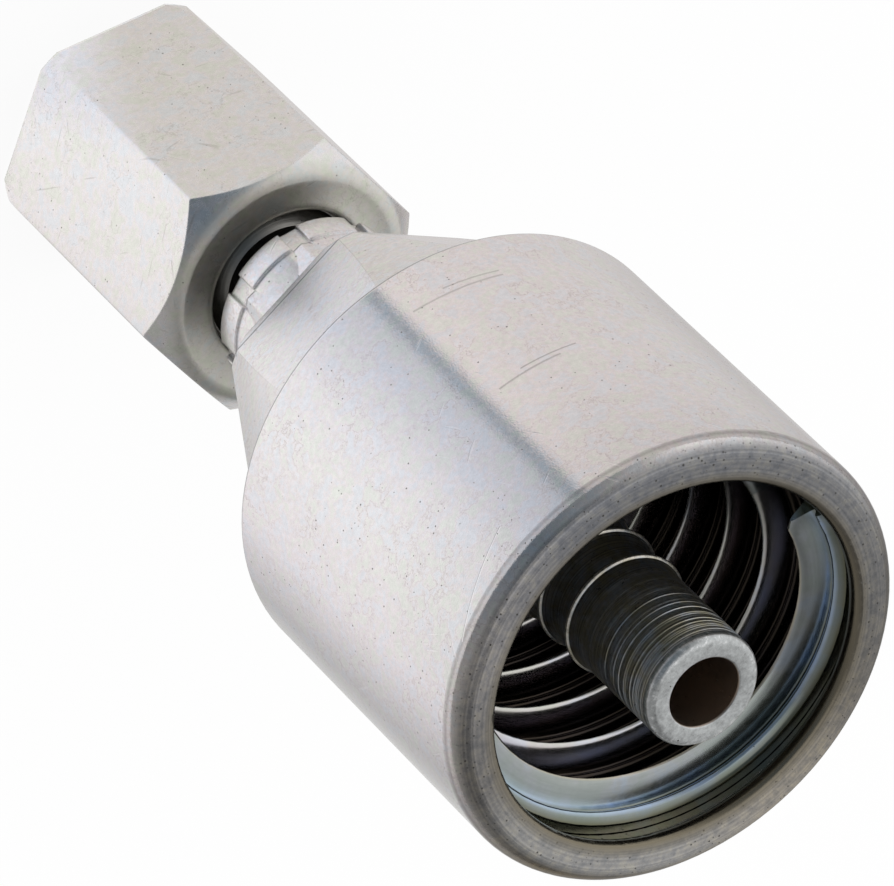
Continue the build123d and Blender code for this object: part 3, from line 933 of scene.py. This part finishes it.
# Studio: a white floor, a pale tent round it and grey cards that only the metal mirrors.
studio = {
    "floorSize": 6000.0, "floorColour": "#f4f4f4", "floorWhite": 0.9,   # the share that stays white
    "worldStrength": 0.92, "white": "#ffffff",
    "cardRadius": 1200.0, "cardSides": 96, "cardHeight": 0.2, "tentRadius": 1500.0,
    # Shades round the object, by azimuth from +X. The metal mirrors the floor card with its upright sides.
    "floorShades": [(-180, "#e2dddb"), (-140, "#e6e1df"), (-117, "#eee8e6"), (-115.0, "#9ba6af"),
                    (-112, "#97a2ab"), (-108.5, "#ced2d9"), (-94, "#dee0e8"), (-70, "#f9f9fc"),
                    (-46, "#ffffff"), (-6, "#f6f3f5"), (14, "#dad8da"), (34, "#c0bfc0"), (55, "#d0d0cf"),
                    (75, "#f2f2f0"), (122, "#c8c5c4"), (152, "#dcd9d7"), (180, "#e2dddb")],
    "nearShades": [(-180, "#dddad7"), (-125, "#dcd9d4"), (-95, "#f2f4fb"), (-78, "#f4f5fb"),
                   (-62, "#ffffff"), (-30, "#fbf9f9"), (-5, "#d6d5d4"), (40, "#cccccb"), (110, "#dcd9d9"),
                   (180, "#dddad7")],
    "nearRadius": (28, 44),   # where the near shades give way to the floor's
    "floorFade": [(0, 1.0), (60, 1.0), (76, 0.75), (106, 0.5), (140, 0.55), (210, 0.72), (1000, 0.65)],
    "tentShades": [(-180, 0.88), (-160, 0.85), (-140, 0.42), (-120, "#83888c"), (-90, "#626d77"),
                   (-60, "#777c82"), (-30, 0.28), (0, 0.36), (30, 0.3), (55, 0.2), (75, 0.48), (88, 0.62),
                   (105, 0.66), (125, 0.82), (150, 0.88), (180, 0.88)],
    "tentTop": 0.8, "tentTopSpan": (0.925, 0.965),   # heights as shares of the tent's radius
    "lampAzimuth": 122.0, "lampElevation": 54.0, "lampDistance": 700.0, "lampSize": 520.0, "lampPower": 0.9,
}


def raysThatSeeWhite(tree):
    path = addNode(tree, "LightPath").outputs
    seen = path["Is Camera Ray"]
    for other in ("Is Glossy Ray", "Is Transmission Ray"):
        seen = addNode(tree, "Math", larger, {0: seen, 1: path[other]})
    return seen


def makeFloor(settings):
    startClean()
    bpy.ops.mesh.primitive_plane_add(size=settings["floorSize"] * mm)
    floor = bpy.context.object
    floor.name = "studioFloor"
    material, tree = newMaterial("paleStudioFloor")
    paint = addNode(tree, "BsdfDiffuse", inputs={"Color": settings["floorColour"]})
    white = addNode(tree, "Emission")
    share = addNode(tree, "Math", times, {0: raysThatSeeWhite(tree), 1: settings["floorWhite"]})
    mix = addNode(tree, "MixShader", inputs={0: share, 1: paint, 2: white})
    addNode(tree, "OutputMaterial", inputs={"Surface": mix})
    finishWith(material, floor)


def makeWorld(settings):
    world = bpy.data.worlds.new("studioWorld")
    bpy.context.scene.world = world
    world.use_nodes = True
    tree = world.node_tree
    tree.nodes.clear()
    strength = addNode(tree, "MapRange", inputs={
        "Value": raysThatSeeWhite(tree), "To Min": settings["worldStrength"]})
    background = addNode(tree, "Background", inputs={"Color": settings["white"], "Strength": strength})
    addNode(tree, "OutputWorld", inputs={"Surface": background})


def onlyMirrored(card, material, colour):
    # The card glows in its own shades and shows in the metal alone.
    tree = material.node_tree
    glow = addNode(tree, "Emission", inputs={"Color": colour})
    addNode(tree, "OutputMaterial", inputs={"Surface": glow})
    finishWith(material, card)
    for ray in ("camera", "diffuse", "shadow", "transmission", "volume_scatter"):
        setattr(card, "visible_" + ray, False)


def makeFloorCard(settings):
    startClean()
    cardRadius = settings["cardRadius"]
    bpy.ops.mesh.primitive_circle_add(
        vertices=settings["cardSides"], radius=cardRadius * mm, fill_type="NGON",
        location=(0, 0, settings["cardHeight"] * mm))
    card = bpy.context.object
    card.name = "floorCard"
    material, tree = newMaterial("greyFloorCard")
    place, reach, height, around = measurePlace(tree)
    near, far = [addNode(tree, "ValToRGB", inputs={"Fac": around}, stops=byAzimuth(settings[name]))
                 for name in ("nearShades", "floorShades")]
    away = addNode(tree, "MapRange", inputs={"Value": reach, **span("From", settings["nearRadius"], mm)})
    colour = layOver(tree, near, [(away, far)])
    share = addNode(tree, "MapRange", inputs={"Value": reach, "From Max": cardRadius * mm})
    fades = [(distance / cardRadius, shade) for distance, shade in settings["floorFade"]]
    fade = addNode(tree, "ValToRGB", inputs={"Fac": share}, stops=fades)
    colour = layOver(tree, colour, [(1.0, fade)], timesColour)
    onlyMirrored(card, material, colour)


def makeTent(settings):
    startClean()
    radius = settings["tentRadius"] * mm
    bpy.ops.mesh.primitive_uv_sphere_add(segments=64, ring_count=32, radius=radius)
    tent = bpy.context.object
    tent.name = "studioTent"
    material, tree = newMaterial("greyTentCloth")
    place, reach, height, around = measurePlace(tree)
    sides = addNode(tree, "ValToRGB", inputs={"Fac": around}, stops=byAzimuth(settings["tentShades"]))
    rise = addNode(tree, "MapRange", inputs={
        "Value": height, **span("From", settings["tentTopSpan"], radius)})
    top = (settings["tentTop"],) * 3 + (1.0,)
    colour = layOver(tree, sides, [(rise, top)])
    onlyMirrored(tent, material, colour)


def addSoftbox(settings):
    towards = directionTo(settings["lampAzimuth"], settings["lampElevation"])
    startClean()
    bpy.ops.object.light_add(type="AREA", location=towards * settings["lampDistance"] * mm)
    lamp = bpy.context.object
    lamp.name = "softbox"
    lamp.rotation_euler = towards.to_track_quat("Z", "Y").to_euler()
    lamp.data.size = settings["lampSize"] * mm
    lamp.data.energy = settings["lampPower"]
    lamp.visible_glossy = False   # the tent stands for it in the metal


makeFloor(studio)
makeWorld(studio)
makeFloorCard(studio)
makeTent(studio)
addSoftbox(studio)
print("studio built")

bpy.context.scene.view_settings.view_transform = "Standard"
